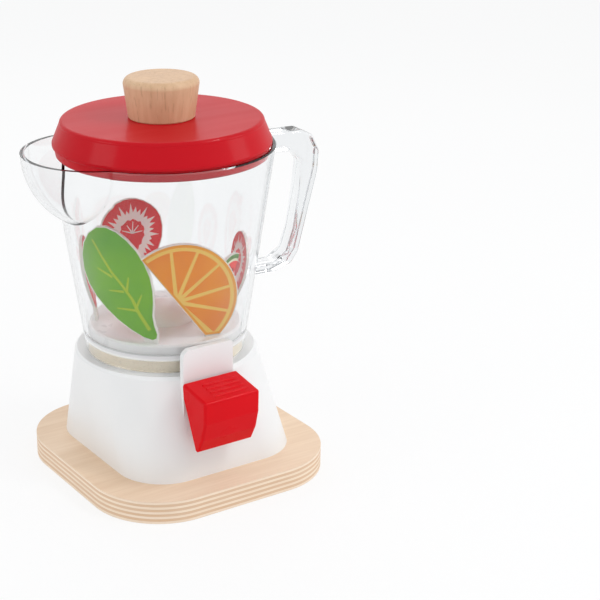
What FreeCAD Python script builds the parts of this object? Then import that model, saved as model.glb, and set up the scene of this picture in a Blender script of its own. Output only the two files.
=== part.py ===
import FreeCAD, Part
import math
import os
import re

import Sketcher
from FreeCAD import Placement, Rotation, Vector

# Toy blender. The jug axis is the Z axis, the board's underside is z = 0,
# the lever side faces -Y. All lengths in millimetres, angles in degrees.

os.makedirs("parts", exist_ok=True)
doc = FreeCAD.newDocument("toy_blender")
sheet = doc.addObject("Spreadsheet::Sheet", "Dims")

SIZES = {
    # base board, with the jug axis a little off its centre
    "board_width": 151.4, "board_depth": 153, "board_thick": 13.7, "board_corner": 44,
    "board_mid_x": 4.6, "board_mid_y": -4.5,
    # white housing: rounded square at the foot, circle at the top
    "house_width": 113.5, "house_depth": 120, "house_corner": 30, "house_mid_x": 5.5,
    "house_mid_y": -1, "house_top_radius": 54.7, "house_top": 75.5, "house_wall": 3,
    "house_roof": 4, "house_rim": 1.2, "boss_radius": 5, "boss_height": 16, "boss_spread_x": 41, "boss_spread_y": 44,
    "tab_inner_y": 51.3, "tab_thick": 3.6, "tab_top": 93, "tab_corner": 5, "tab_small_corner": 1.8,
    "tab_left_x": -20.9, "tab_right_x": 12.9,
    # lever, its carriage and the sprung guide
    "lever_mid_x": -4, "lever_width": 37.2, "lever_back": 56.9, "lever_front": 80.5,
    "lever_top_back": 73.8, "lever_top_front": 70.4, "lever_waist": 57.6,
    "lever_waist_height": 66, "lever_brow": 80.2, "lever_brow_height": 57,
    "lever_chin": 77.4, "lever_chin_height": 46, "lever_foot_front": 72.6,
    "lever_foot_back": 70.4, "lever_foot": 36.8, "lever_edge": 1.6, "lever_travel": 14,
    "grip_radius": 0.9, "grip_length": 22, "grip_step": 4.2,
    "tongue_width": 11, "tongue_height": 10, "tongue_mid_z": 54, "tongue_reach": 72,
    "post_radius": 2.5, "post_spread": 14, "post_y": -41, "post_top": 68,
    "block_depth": 12, "block_side": 6.5, "guide_block_height": 5.5,
    "carriage_low": 47, "carriage_high": 59,
    "wire_radius": 0.55, "coil_radius": 3.75, "coil_turns": 7,
    # gears
    "gear_module": 1.25, "pressure_angle": 25, "pinion_teeth": 12, "wheel_teeth": 24,
    "gear_backlash": 0.2, "axle_z": 38, "axle_radius": 2.5, "axle_inner_x": -5.5,
    "rack_mid_x": -20, "rack_width": 7, "rack_body": 5, "pinion_face": 8,
    "wheel_front": 5, "wheel_back": 9, "bevel_outer": 16.9, "hub_radius": 5.5,
    "cheek_thick": 4, "cheek_inner_x": 11, "cheek_half_depth": 7.5, "cheek_rise": 8,
    "bracket_floor": 6, "bracket_back_y": 16,
    # upright drive shaft and coupling
    "shaft_radius": 3, "bush_radius": 6, "bush_length": 14.5, "hex_radius": 4.5,
    "hex_top": 82.8, "collar_radius": 6.5, "collar_thick": 1.1,
    # wooden jug seat
    "seat_radius": 44.4, "seat_thick": 8.1, "seat_bore": 11,
    # jug
    "jug_foot_radius": 48, "jug_rim_radius": 66.1, "jug_rim": 200.1, "jug_wall": 2.8,
    "jug_floor_low": 84, "jug_floor_thick": 2.3, "jug_edge": 0.8,
    "spout_radius": 45.5, "spout_reach": 38.5, "spout_wall": 2.6,
    "handle_turn": -9, "handle_width": 14, "handle_edge": 2, "handle_round": 2.2,
    # rotor with the printed fruit shapes
    "rotor_radius": 46, "rotor_low": 86.6, "rotor_thick": 5.8, "stub_radius": 8,
    "stub_low": 79.2, "dome_radius": 17.5, "dome_height": 11, "print_thick": 1.6,
    "foot_width": 9, "foot_depth": 3,
    # lid and knob
    "lid_radius": 63.8, "lid_top_radius": 57, "lid_top": 215.6, "lid_band": 2.6,
    "lid_round": 2.3, "plug_low": 194.6, "plug_gap": 0.6,
    "knob_foot_radius": 19.3, "knob_radius": 22, "knob_top": 239.4, "knob_round": 4,
    "dowel_radius": 4, "dowel_length": 18,
    # screws and clearances
    "screw_radius": 1.5, "screw_head": 3.2, "screw_head_depth": 2.2, "screw_tip": 18.6,
    "seat_gap": 0.3, "run_gap": 0.06, "press_gap": 0.02, "free_gap": 0.25,
}
ROUND_POINTS = 10

for row, (name, value) in enumerate(SIZES.items(), start=1):
    sheet.set("A%d" % row, name)
    sheet.set("B%d" % row, str(value))
    sheet.setAlias("B%d" % row, name)
doc.recompute()

FUNCTIONS = ("sqrt", "sin", "cos", "tan")


def formula(text):
    """Turn the plain names in a formula into names of the sheet."""
    def swap(found):
        word = found.group(0)
        return word if word in FUNCTIONS else "Dims." + word
    return re.sub(r"[a-z][a-z_]*[a-z]", swap, str(text))


def number(text):
    """Present value of a formula."""
    return float(sheet.evalExpression(formula(text)))


def bind(item, prop, text):
    item.setExpression(prop, formula(text))


def place(item, x=0, y=0, z=0, rotation=None):
    """Put an object at bound coordinates, with a fixed rotation."""
    item.Placement = Placement(Vector(0, 0, 0), rotation or Rotation())
    for axis, text in zip("xyz", (x, y, z)):
        if text != 0:
            bind(item, "Placement.Base." + axis, text)
    return item


ALONG_X = Rotation(Vector(0, 1, 0), 90)
ALONG_Y = Rotation(Vector(1, 0, 0), -90)


def box(name, size, corner):
    item = doc.addObject("Part::Box", name)
    for prop, text in zip(("Length", "Width", "Height"), size):
        bind(item, prop, text)
    return place(item, *corner)


def cylinder(name, radius, height, base=(0, 0, 0), rotation=None, angle=360):
    item = doc.addObject("Part::Cylinder", name)
    bind(item, "Radius", radius)
    bind(item, "Height", height)
    item.Angle = angle
    return place(item, base[0], base[1], base[2], rotation)


def cone(name, low_radius, high_radius, height, base=(0, 0, 0), rotation=None):
    item = doc.addObject("Part::Cone", name)
    bind(item, "Radius1", low_radius)
    bind(item, "Radius2", high_radius)
    bind(item, "Height", height)
    return place(item, base[0], base[1], base[2], rotation)


def raw(name, shape):
    item = doc.addObject("Part::Feature", name)
    item.Shape = shape
    return item


def fuse(name, items):
    item = doc.addObject("Part::MultiFuse", name)
    item.Shapes = items
    item.Refine = True
    return item


def common(name, items):
    item = doc.addObject("Part::MultiCommon", name)
    item.Shapes = items
    return item


def cut(name, base, tools):
    tool = tools[0] if len(tools) == 1 else fuse(name + "_tools", tools)
    item = doc.addObject("Part::Cut", name)
    item.Base = base
    item.Tool = tool
    return item


NODES = []


def node(item, label):
    """Keep an object as a named piece."""
    item.Label = label
    NODES.append(item)
    return item


def outline(sketch, points):
    """Closed outline of straight lines, each corner bound to the sheet."""
    spots = [Vector(number(x), number(y), 0) for x, y in points]
    count = len(points)
    for i in range(count):
        sketch.addGeometry(Part.LineSegment(spots[i], spots[(i + 1) % count]), False)
    for i in range(count):
        sketch.addConstraint(Sketcher.Constraint("Coincident", i, 2, (i + 1) % count, 1))
    for i, (x, y) in enumerate(points):
        for kind, text, axis, value in (("DistanceX", x, -2, spots[i].x),
                                        ("DistanceY", y, -1, spots[i].y)):
            if text == 0:
                sketch.addConstraint(Sketcher.Constraint("PointOnObject", i, 1, axis))
                continue
            index = sketch.addConstraint(Sketcher.Constraint(kind, -1, 1, i, 1, value))
            label = "%s_%d" % (kind.lower(), i)
            sketch.renameConstraint(index, label)
            bind(sketch, "Constraints." + label, text)


def sketch_on(body, role, points):
    sketch = body.newObject("Sketcher::SketchObject", body.Name + "_outline")
    plane = [f for f in body.Origin.OriginFeatures if f.Role == role][0]
    sketch.AttachmentSupport = (plane, [""])
    sketch.MapMode = "FlatFace"
    outline(sketch, points)
    return sketch


def turned(name, points):
    """Solid of revolution about Z from a half profile of (radius, height)."""
    body = doc.addObject("PartDesign::Body", name)
    sketch = sketch_on(body, "XZ_Plane", points)
    turn = body.newObject("PartDesign::Revolution", name + "_turn")
    turn.Profile = sketch
    turn.ReferenceAxis = (sketch, ["V_Axis"])
    turn.Angle = 360
    body.Tip = turn
    return body


def padded(name, role, points, width):
    """Plate of bound thickness, centred on one of the body's planes."""
    body = doc.addObject("PartDesign::Body", name)
    sketch = sketch_on(body, role, points)
    pad = body.newObject("PartDesign::Pad", name + "_pad")
    pad.Profile = sketch
    pad.Midplane = True
    bind(pad, "Length", width)
    body.Tip = pad
    return body


def rounded(body, radius, pick):
    """Round the edges of a body that the pick function chooses."""
    doc.recompute()
    last = body.Tip
    names = ["Edge%d" % (i + 1) for i, e in enumerate(last.Shape.Edges) if pick(e)]
    fillet = body.newObject("PartDesign::Fillet", body.Name + "_round")
    fillet.Base = (last, names)
    bind(fillet, "Radius", radius)
    body.Tip = fillet
    doc.recompute()
    return body


def direction(edge):
    return (edge.Vertexes[-1].Point - edge.Vertexes[0].Point).normalize()


# Screws, all alike, driven from under the board.
SCREW_SPOTS = {
    "housing_screw_a": ("house_mid_x - boss_spread_x", "house_mid_y - boss_spread_y"),
    "housing_screw_b": ("house_mid_x + boss_spread_x", "house_mid_y - boss_spread_y"),
    "housing_screw_c": ("house_mid_x + boss_spread_x", "house_mid_y + boss_spread_y"),
    "housing_screw_d": ("house_mid_x - boss_spread_x", "house_mid_y + boss_spread_y"),
    "bracket_screw_a": ("rack_mid_x", "2"),
    "bracket_screw_b": ("rack_mid_x", "11"),
    "guide_screw_a": ("lever_mid_x - block_side", "post_y"),
    "guide_screw_b": ("lever_mid_x + block_side", "post_y"),
}


def screw_hole(name, spot, radius, top, with_sink=False):
    x, y = spot
    hole = [cylinder(name, radius, top, (x, y, 0))]
    if with_sink:
        hole.append(cone(name + "_sink", "screw_head + seat_gap + free_gap",
                         "screw_radius + free_gap", "screw_head_depth + seat_gap", (x, y, 0)))
    return hole


for label, (x, y) in SCREW_SPOTS.items():
    head = cone(label + "_head", "screw_head", "screw_radius", "screw_head_depth",
                (x, y, "seat_gap"))
    shank = cylinder(label + "_shank", "screw_radius", "screw_tip - seat_gap", (x, y, "seat_gap"))
    slots = [box(label + "_slot_" + way, size, corner) for way, size, corner in (
        ("x", ("screw_head * 1.3", 0.9, 1.2),
         (x + " - screw_head * 0.65", y + " - 0.45", "seat_gap - 0.2")),
        ("y", (0.9, "screw_head * 1.3", 1.2),
         (x + " - 0.45", y + " - screw_head * 0.65", "seat_gap - 0.2")))]
    node(cut(label, fuse(label + "_blank", [head, shank]), slots), label)


# Base board: a plywood slab with large round corners.
def slab(name, width, depth, corner, thick, mid_x, mid_y, low):
    pieces = [
        box(name + "_long", (width, depth + " - 2 * " + corner, thick),
            (mid_x + " - " + width + " / 2", mid_y + " - " + depth + " / 2 + " + corner, low)),
        box(name + "_wide", (width + " - 2 * " + corner, depth, thick),
            (mid_x + " - " + width + " / 2 + " + corner, mid_y + " - " + depth + " / 2", low)),
    ]
    for i, (sx, sy) in enumerate(((-1, -1), (1, -1), (1, 1), (-1, 1))):
        pieces.append(cylinder(
            "%s_corner_%d" % (name, i), corner, thick,
            ("%s + %d * (%s / 2 - %s)" % (mid_x, sx, width, corner),
             "%s + %d * (%s / 2 - %s)" % (mid_y, sy, depth, corner), low)))
    return fuse(name, pieces)


board = slab("board_slab", "board_width", "board_depth", "board_corner", "board_thick",
             "board_mid_x", "board_mid_y", 0)
holes = []
for label, spot in SCREW_SPOTS.items():
    holes += screw_hole("board_" + label, spot, "screw_radius + free_gap", "board_thick", True)
node(cut("base_board", board, holes), "base_board")


# White housing.
def loft_wire(width, depth, corner, mid_x, mid_y, radius, z, share):
    """Closed smooth section: share 0 gives the rounded square, 1 gives the circle."""
    half_x, half_y = width / 2, depth / 2
    edges = []
    spans = []
    for k in range(4):
        turn = k * 90
        signs = ((1, 1), (-1, 1), (-1, -1), (1, -1))[k]
        centre = Vector(mid_x + signs[0] * (half_x - corner),
                        mid_y + signs[1] * (half_y - corner), z)
        angles = [math.radians(turn + a) for a in (0, 45, 90)]
        spans.append([centre + Vector(math.cos(a), math.sin(a), 0) * corner for a in angles])
    circle = []
    for k in range(4):
        angles = [math.radians(k * 90 + a) for a in (18, 45, 72)]
        circle.append([Vector(math.cos(a), math.sin(a), 0) * radius + Vector(0, 0, z)
                       for a in angles])
    for k in range(4):
        mine, other = (circle, spans)[share == 0][k], (circle, spans)[share == 0][(k + 1) % 4]
        edges.append(Part.Arc(*mine).toShape())
        if share == 0:
            edges.append(Part.LineSegment(mine[2], other[0]).toShape())
        else:
            a = math.radians(k * 90 + 90)
            middle = Vector(math.cos(a), math.sin(a), 0) * radius + Vector(0, 0, z)
            edges.append(Part.Arc(mine[2], middle, other[0]).toShape())
    return Part.Wire(edges)


def housing_loft(inset, low, high):
    """Loft of the housing, moved inwards by the wall thickness."""
    foot = loft_wire(number("house_width") - 2 * inset, number("house_depth") - 2 * inset,
                     number("house_corner") - inset, number("house_mid_x"),
                     number("house_mid_y"), 0, low, 0)
    top = loft_wire(1, 1, 0.1, 0, 0, number("house_top_radius") - inset, high, 1)
    return Part.makeLoft([foot, top], True, True)


# the top rim is eased by a cone that stands on the housing's axis
shell_rise = "house_top - board_thick"
shell_blank = raw("housing_blank", housing_loft(0, number("board_thick"), number("house_top")))
shell = common("housing_outside", [
    shell_blank,
    cone("housing_rim", "house_top_radius - house_rim + (" + shell_rise + ") * 0.8",
         "house_top_radius - house_rim", shell_rise, (0, 0, "board_thick"))])
hollow = raw("housing_inside", housing_loft(number("house_wall"), number("board_thick"),
                                            number("house_top - house_roof")))
bosses = []
for label, (x, y) in list(SCREW_SPOTS.items())[:4]:
    bosses.append(cylinder("boss_" + label, "boss_radius + 3", "boss_height",
                           (x, y, "board_thick")))
boss_set = common("boss_set", [fuse("boss_columns", bosses),
                               raw("boss_limit", shell_blank.Shape.copy())])
collar_boss = cylinder("bush_boss", "bush_radius + 3", "bush_length - house_roof",
                       (0, 0, "house_top - bush_length"))
tab_low = 40
tab_plate = fuse("tab_plate", [
    box("tab_body", ("tab_right_x - tab_left_x", "tab_thick", "tab_top - tab_corner - %d" % tab_low),
        ("tab_left_x", "-tab_inner_y - tab_thick", tab_low)),
    box("tab_crown", ("tab_right_x - tab_left_x - tab_corner - tab_small_corner", "tab_thick",
                      "tab_corner + 1"),
        ("tab_left_x + tab_corner", "-tab_inner_y - tab_thick", "tab_top - tab_corner - 1")),
    box("tab_shoulder", ("tab_corner", "tab_thick", "tab_corner - tab_small_corner + 1"),
        ("tab_right_x - tab_corner", "-tab_inner_y - tab_thick", "tab_top - tab_corner - 1")),
    cylinder("tab_round_left", "tab_corner", "tab_thick",
             ("tab_left_x + tab_corner", "-tab_inner_y - tab_thick", "tab_top - tab_corner"),
             ALONG_Y),
    cylinder("tab_round_right", "tab_small_corner", "tab_thick",
             ("tab_right_x - tab_small_corner", "-tab_inner_y - tab_thick",
              "tab_top - tab_small_corner"), ALONG_Y)])
slot = box("lever_slot", ("tongue_width + 1", 30, "tongue_height + lever_travel + 1"),
           ("lever_mid_x - tongue_width / 2 - 0.5", "-75",
            "tongue_mid_z - tongue_height / 2 - lever_travel - 0.5"))
pilots = []
for label, spot in list(SCREW_SPOTS.items())[:4]:
    pilots.append(cylinder("pilot_" + label, "screw_radius + press_gap", "screw_tip + 1",
                           (spot[0], spot[1], 0)))
bush_bore = cylinder("bush_bore", "bush_radius + press_gap", "bush_length + 2",
                     (0, 0, "house_top - bush_length - 1"))
walls = cut("housing_walls", shell, [hollow])
node(cut("base_housing", fuse("housing_solid", [walls, boss_set, collar_boss, tab_plate]),
         [slot, bush_bore] + pilots), "base_housing")

node(cut("shaft_bush", cylinder("bush_body", "bush_radius", "bush_length",
                                (0, 0, "house_top - bush_length")),
         [cylinder("bush_hole", "shaft_radius + run_gap", "bush_length + 2",
                   (0, 0, "house_top - bush_length - 1"))]), "shaft_bush")

seat_edge = 0.8
node(cut("jug_seat", fuse("seat_body", [
    cylinder("seat_disc", "seat_radius", "seat_thick - %s" % seat_edge, (0, 0, "house_top")),
    cone("seat_bevel", "seat_radius", "seat_radius - %s" % seat_edge, seat_edge,
         (0, 0, "house_top + seat_thick - %s" % seat_edge))]),
    [cylinder("seat_hole", "seat_bore", "seat_thick + 2", (0, 0, "house_top - 1"))]), "jug_seat")

# Bracket that carries the cross axle.
bracket_parts = []
for side, inner in (("near", "-cheek_inner_x - cheek_thick"),
                    ("far", "-2 * cheek_thick - cheek_inner_x - pinion_face - 2")):
    bracket_parts.append(box("cheek_" + side, ("cheek_thick", "2 * cheek_half_depth",
                                               "axle_z + cheek_rise - board_thick"),
                             (inner, "-cheek_half_depth", "board_thick")))
bracket_parts.append(box(
    "bracket_plate", ("2 * cheek_thick + pinion_face + 2", "cheek_half_depth + bracket_back_y",
                      "bracket_floor"),
    ("-2 * cheek_thick - cheek_inner_x - pinion_face - 2", "-cheek_half_depth", "board_thick")))
bracket_holes = [cylinder("axle_holes", "axle_radius + run_gap", 60,
                          (-45, 0, "axle_z"), ALONG_X)]
for label in ("bracket_screw_a", "bracket_screw_b"):
    bracket_holes.append(cylinder("pilot_" + label, "screw_radius + press_gap", "screw_tip + 0.5",
                                  (SCREW_SPOTS[label][0], SCREW_SPOTS[label][1], 0)))
node(cut("gear_bracket", fuse("bracket_solid", bracket_parts), bracket_holes), "gear_bracket")

# Guide block with two upright posts.
POSTS = {"guide_post_left": "lever_mid_x - post_spread",
         "guide_post_right": "lever_mid_x + post_spread"}
block_length = "2 * (post_spread + block_side)"
guide_holes = []
for label, x in POSTS.items():
    guide_holes.append(cylinder("seat_" + label, "post_radius + press_gap",
                                "guide_block_height + 1", (x, "post_y", "board_thick")))
    node(cylinder(label, "post_radius", "post_top - board_thick - seat_gap",
                  (x, "post_y", "board_thick + seat_gap")), label)
for label in ("guide_screw_a", "guide_screw_b"):
    guide_holes.append(cylinder("pilot_" + label, "screw_radius + press_gap", "screw_tip + 0.2",
                                (SCREW_SPOTS[label][0], SCREW_SPOTS[label][1], 0)))
node(cut("guide_block", box("guide_body", (block_length, "block_depth", "guide_block_height"),
                            ("lever_mid_x - post_spread - block_side",
                             "post_y - block_depth / 2", "board_thick")), guide_holes),
     "guide_block")

# Return spring round the right post.
spring_low = number("board_thick + guide_block_height + seat_gap + wire_radius")
spring_high = number("carriage_low - seat_gap - wire_radius")
coil = Part.makeHelix((spring_high - spring_low) / number("coil_turns"), spring_high - spring_low,
                      number("coil_radius"))
wire_profile = Part.Wire(Part.makeCircle(number("wire_radius"),
                                         Vector(number("coil_radius"), 0, 0), Vector(0, 1, 0)))
spring_shape = Part.Wire(coil).makePipeShell([wire_profile], True, True)
spring = raw("return_spring", spring_shape)
place(spring, POSTS["guide_post_right"], "post_y",
      "board_thick + guide_block_height + seat_gap + wire_radius")
node(spring, "return_spring")


# Gears. The tooth flanks are involutes, and the bevel pair shares one apex.
PRESSURE = math.radians(number("pressure_angle"))
MODULE = number("gear_module")
PINION = int(number("pinion_teeth"))
WHEEL = int(number("wheel_teeth"))
BACKLASH = number("gear_backlash")


def involute(radius, base):
    ratio = min(1.0, base / radius)
    angle = math.acos(ratio)
    return math.tan(angle) - angle


def spur_outline(teeth, first_angle):
    """Outline of a spur gear, with a tooth centred on the first angle."""
    pitch = MODULE * teeth / 2
    base = pitch * math.cos(PRESSURE)
    root, tip = pitch - 1.25 * MODULE, pitch + MODULE
    half = math.pi / (2 * teeth) - BACKLASH / (4 * pitch)
    start = max(base, root)
    steps = [start + (tip - start) * i / 6 for i in range(7)]
    flank = [(r, half + involute(pitch, base) - involute(r, base)) for r in steps]
    if root < base:
        flank.insert(0, (root, flank[0][1]))
    points = []
    for k in range(teeth):
        middle = first_angle + 2 * math.pi * k / teeth
        for r, a in flank:
            points.append((r, middle - a))
        for r, a in reversed(flank):
            points.append((r, middle + a))
    return [Vector(r * math.cos(a), r * math.sin(a), 0) for r, a in points]


def bevel_outline(teeth, mate, half_turn, distance):
    """Outline of a bevel gear seen from the apex on a plane at some distance."""
    pitch = math.atan2(teeth, mate)
    cone_length = MODULE * math.hypot(teeth, mate) / 2
    base = math.asin(math.sin(pitch) * math.cos(PRESSURE))
    root = pitch - math.atan(1.25 * MODULE / cone_length)
    tip = pitch + math.atan(MODULE / cone_length)

    def spread(angle):
        swing = math.acos(min(1.0, math.cos(angle) / math.cos(base)))
        return swing / math.sin(base) - math.acos(min(1.0, math.tan(base) / math.tan(angle)))

    half = math.pi / (2 * teeth) - BACKLASH / (2 * MODULE * teeth)
    start = max(base, root)
    steps = [start + (tip - start) * i / 6 for i in range(7)]
    flank = [(t, half + spread(pitch) - spread(t)) for t in steps]
    if root < base:
        flank.insert(0, (root, flank[0][1]))
    points = []
    for k in range(teeth):
        middle = 2 * math.pi * (k + half_turn) / teeth
        for t, a in flank:
            points.append((t, middle - a))
        for t, a in reversed(flank):
            points.append((t, middle + a))
    return [Vector(distance * math.tan(t) * math.cos(a), distance * math.tan(t) * math.sin(a),
                   distance) for t, a in points]


def bevel_solid(teeth, mate, half_turn, near, far):
    wires = [Part.makePolygon(ring + ring[:1]) for ring in
             (bevel_outline(teeth, mate, half_turn, d) for d in (near, far))]
    return Part.makeLoft(wires, True, True)


# Frames that carry local z to the gear axis and local x to the meeting line.
AXLE_FRAME = FreeCAD.Matrix(0, 0, -1, 0, 0, 1, 0, 0, 1, 0, 0, number("axle_z"), 0, 0, 0, 1)
SHAFT_FRAME = FreeCAD.Matrix(-1, 0, 0, 0, 0, -1, 0, 0, 0, 0, 1, number("axle_z"), 0, 0, 0, 1)

ring = spur_outline(PINION, math.pi)
spur = Part.Face(Part.makePolygon(ring + ring[:1])).extrude(Vector(0, 0, number("pinion_face")))
# local x becomes +Y and local y becomes +Z
spur.transformShape(FreeCAD.Matrix(0, 0, 1, number("rack_mid_x - pinion_face / 2"),
                                   1, 0, 0, 0, 0, 1, 0, number("axle_z"), 0, 0, 0, 1))
node(cut("rack_pinion", raw("rack_pinion_teeth", spur),
         [cylinder("rack_pinion_bore", "axle_radius + press_gap", "pinion_face + 2",
                   ("rack_mid_x - pinion_face / 2 - 1", 0, "axle_z"), ALONG_X)]), "rack_pinion")

wheel = bevel_solid(WHEEL, PINION, 0.5, number("wheel_front"), number("wheel_back"))
wheel.transformShape(AXLE_FRAME)
limit = doc.addObject("Part::Sphere", "wheel_limit")
bind(limit, "Radius", "bevel_outer")
place(limit, 0, 0, "axle_z")
wheel_body = common("wheel_body", [raw("wheel_teeth_shape", wheel), limit])
wheel_hub = cylinder("wheel_hub", "hub_radius", "cheek_inner_x - wheel_back - 0.4 + 1",
                     ("-cheek_inner_x + 0.4", 0, "axle_z"), ALONG_X)
node(cut("bevel_wheel", fuse("wheel_solid", [wheel_body, wheel_hub]),
         [cylinder("wheel_bore", "axle_radius + press_gap", 20, (-16, 0, "axle_z"), ALONG_X)]),
     "bevel_wheel")

node(cylinder("cross_axle", "axle_radius",
              "axle_inner_x + 2 * cheek_thick + cheek_inner_x + pinion_face + 2 + 1",
              ("-2 * cheek_thick - cheek_inner_x - pinion_face - 3", 0, "axle_z"), ALONG_X),
     "cross_axle")

half_mesh = MODULE * WHEEL / 2
small = bevel_solid(PINION, WHEEL, 0, half_mesh * 2 / 3, half_mesh)
small.transformShape(SHAFT_FRAME)
hub_low = "axle_z + gear_module * wheel_teeth / 2"
pinion_hub = cylinder("pinion_hub", "hub_radius",
                      "house_top - bush_length - axle_z - gear_module * wheel_teeth / 2 "
                      "- seat_gap + 1", (0, 0, hub_low + " - 1"))
node(cut("bevel_pinion", fuse("pinion_solid", [raw("pinion_teeth_shape", small), pinion_hub]),
         [cylinder("pinion_bore", "shaft_radius + press_gap", 30, (0, 0, "axle_z + 5"))]),
     "bevel_pinion")

shaft_low = "axle_z + gear_module * wheel_teeth / 3 + 0.4"
hexagon = doc.addObject("Part::Prism", "drive_hexagon")
hexagon.Polygon = 6
bind(hexagon, "Circumradius", "hex_radius")
bind(hexagon, "Height", "hex_top - house_top")
place(hexagon, 0, 0, "house_top")
node(fuse("drive_shaft", [
    cylinder("shaft_rod", "shaft_radius", "house_top + 1 - (" + shaft_low + ")", (0, 0, shaft_low)),
    cylinder("shaft_collar", "collar_radius", "collar_thick", (0, 0, "house_top + seat_gap")),
    common("hexagon_upper", [hexagon, cylinder("hexagon_limit", "hex_radius", 20,
                                               (0, 0, "house_top + seat_gap"))])]),
     "drive_shaft")

# Lever carriage: block on the posts, arm, rack and the tongue to the knob.
pitch_y = -MODULE * PINION / 2
tooth_pitch = math.pi * MODULE
rack_low = number("axle_z") - 6
rack_high = number("carriage_high") - 1
rack_root = pitch_y - 1.25 * MODULE
rack_tip = pitch_y + MODULE
rack_points = [(rack_root - number("rack_body"), rack_low), (rack_root, rack_low)]
lower = int(math.floor((rack_low - number("axle_z")) / tooth_pitch)) - 1
for k in range(lower, lower + 14):
    middle = number("axle_z") + (k + 0.5) * tooth_pitch
    half = tooth_pitch / 4 - BACKLASH / 4
    out_root = half + 1.25 * MODULE * math.tan(PRESSURE)
    out_tip = half - MODULE * math.tan(PRESSURE)
    if middle - out_root < rack_low or middle + out_root > rack_high:
        continue
    rack_points += [(rack_root, middle - out_root), (rack_tip, middle - out_tip),
                    (rack_tip, middle + out_tip), (rack_root, middle + out_root)]
rack_points += [(rack_root, rack_high), (rack_root - number("rack_body"), rack_high)]
rack_line = [Vector(number("rack_mid_x - rack_width / 2"), y, z) for y, z in rack_points]
rack = raw("rack_teeth", Part.Face(Part.makePolygon(rack_line + rack_line[:1])).extrude(
    Vector(number("rack_width"), 0, 0)))
arm_reach = "-post_y - %.3f" % (-rack_root + 1)
carriage_solid = fuse("carriage_solid", [
    box("carriage_block", (block_length, "block_depth", "carriage_high - carriage_low"),
        ("lever_mid_x - post_spread - block_side", "post_y - block_depth / 2", "carriage_low")),
    box("carriage_arm", ("rack_width", arm_reach, "carriage_high - carriage_low - 3"),
        ("rack_mid_x - rack_width / 2", "post_y", "carriage_low + 2")),
    box("carriage_tongue", ("tongue_width", "tongue_reach + post_y", "tongue_height"),
        ("lever_mid_x - tongue_width / 2", "-tongue_reach",
         "tongue_mid_z - tongue_height / 2")),
    rack])
carriage_holes = []
for label, x in POSTS.items():
    carriage_holes.append(cylinder("slide_" + label, "post_radius + run_gap", 40,
                                   (x, "post_y", "carriage_low - 5")))
carriage_holes.append(cylinder("lever_screw_way", "screw_radius + free_gap", 50,
                               ("lever_mid_x", "-tongue_reach - 1", "tongue_mid_z"), ALONG_Y))
carriage_holes.append(cylinder("lever_screw_sink", "screw_head + free_gap", 8,
                               ("lever_mid_x", "post_y + block_depth / 2 - 3", "tongue_mid_z"),
                               ALONG_Y))
node(cut("lever_carriage", carriage_solid, carriage_holes), "lever_carriage")

# Red lever knob with grip ridges.
LEVER_PROFILE = [("-lever_back", "lever_top_back"), ("-lever_front", "lever_top_front"),
                 ("-lever_brow", "lever_brow_height"), ("-lever_chin", "lever_chin_height"),
                 ("-lever_foot_front", "lever_foot"), ("-lever_foot_back", "lever_foot + 0.6"),
                 ("-lever_waist", "lever_waist_height")]
knob = padded("lever_wedge", "YZ_Plane", LEVER_PROFILE, "lever_width")


def lever_line(edge):
    """Edges of the front and top of the knob, but not those round its back."""
    ends = [v.Point for v in edge.Vertexes]
    back = number("lever_back") + 1.5
    foot_line = number("lever_foot_front") - 0.5
    if abs(direction(edge).x) > 0.5:
        return -ends[0].y > foot_line
    return max(-p.y for p in ends) > back and min(-p.y for p in ends) > foot_line - 0.1 or \
        min(-p.y for p in ends) < back and min(p.z for p in ends) > number("lever_waist_height") + 1


rounded(knob, "lever_edge", lever_line)
place(knob, "lever_mid_x", 0, 0)
grips = []
slope = "(lever_top_back - lever_top_front) / (lever_front - lever_back)"
for i in range(4):
    away = "(6 + %d * grip_step)" % i
    grips.append(cylinder("grip_%d" % i, "grip_radius", "grip_length",
                          ("lever_mid_x - grip_length / 2 + 2", "-lever_back - " + away,
                           "lever_top_back - " + away + " * " + slope + " - grip_radius * 0.25"),
                          ALONG_X))
pocket = box("lever_pocket", ("tongue_width + 2 * press_gap", 20,
                              "tongue_height + 2 * press_gap"),
             ("lever_mid_x - tongue_width / 2 - press_gap", "-tongue_reach - seat_gap",
              "tongue_mid_z - tongue_height / 2 - press_gap"))
knob_pilot = cylinder("lever_pilot", "screw_radius + press_gap", 20,
                      ("lever_mid_x", "-tongue_reach - 4", "tongue_mid_z"), ALONG_Y)
node(cut("lever_knob", fuse("lever_ridged", [knob] + grips), [pocket, knob_pilot]), "lever_knob")

screw_back = "post_y + block_depth / 2 - 3"
node(fuse("lever_screw", [
    cylinder("lever_screw_shank", "screw_radius", "tongue_reach + 3 + " + screw_back,
             ("lever_mid_x", "-tongue_reach - 3", "tongue_mid_z"), ALONG_Y),
    cylinder("lever_screw_head", "screw_head", 2,
             ("lever_mid_x", screw_back, "tongue_mid_z"), ALONG_Y)]), "lever_screw")

# Clear jug: turned wall, bowl shaped spout and a looped handle.
wall_slope = "(jug_rim_radius - jug_foot_radius) / (jug_rim - house_top)"
jug_foot = "house_top + seat_gap"


def jug_radius(height, inset="0"):
    return "jug_foot_radius + (%s - house_top) * %s - (%s)" % (height, wall_slope, inset)


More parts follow.
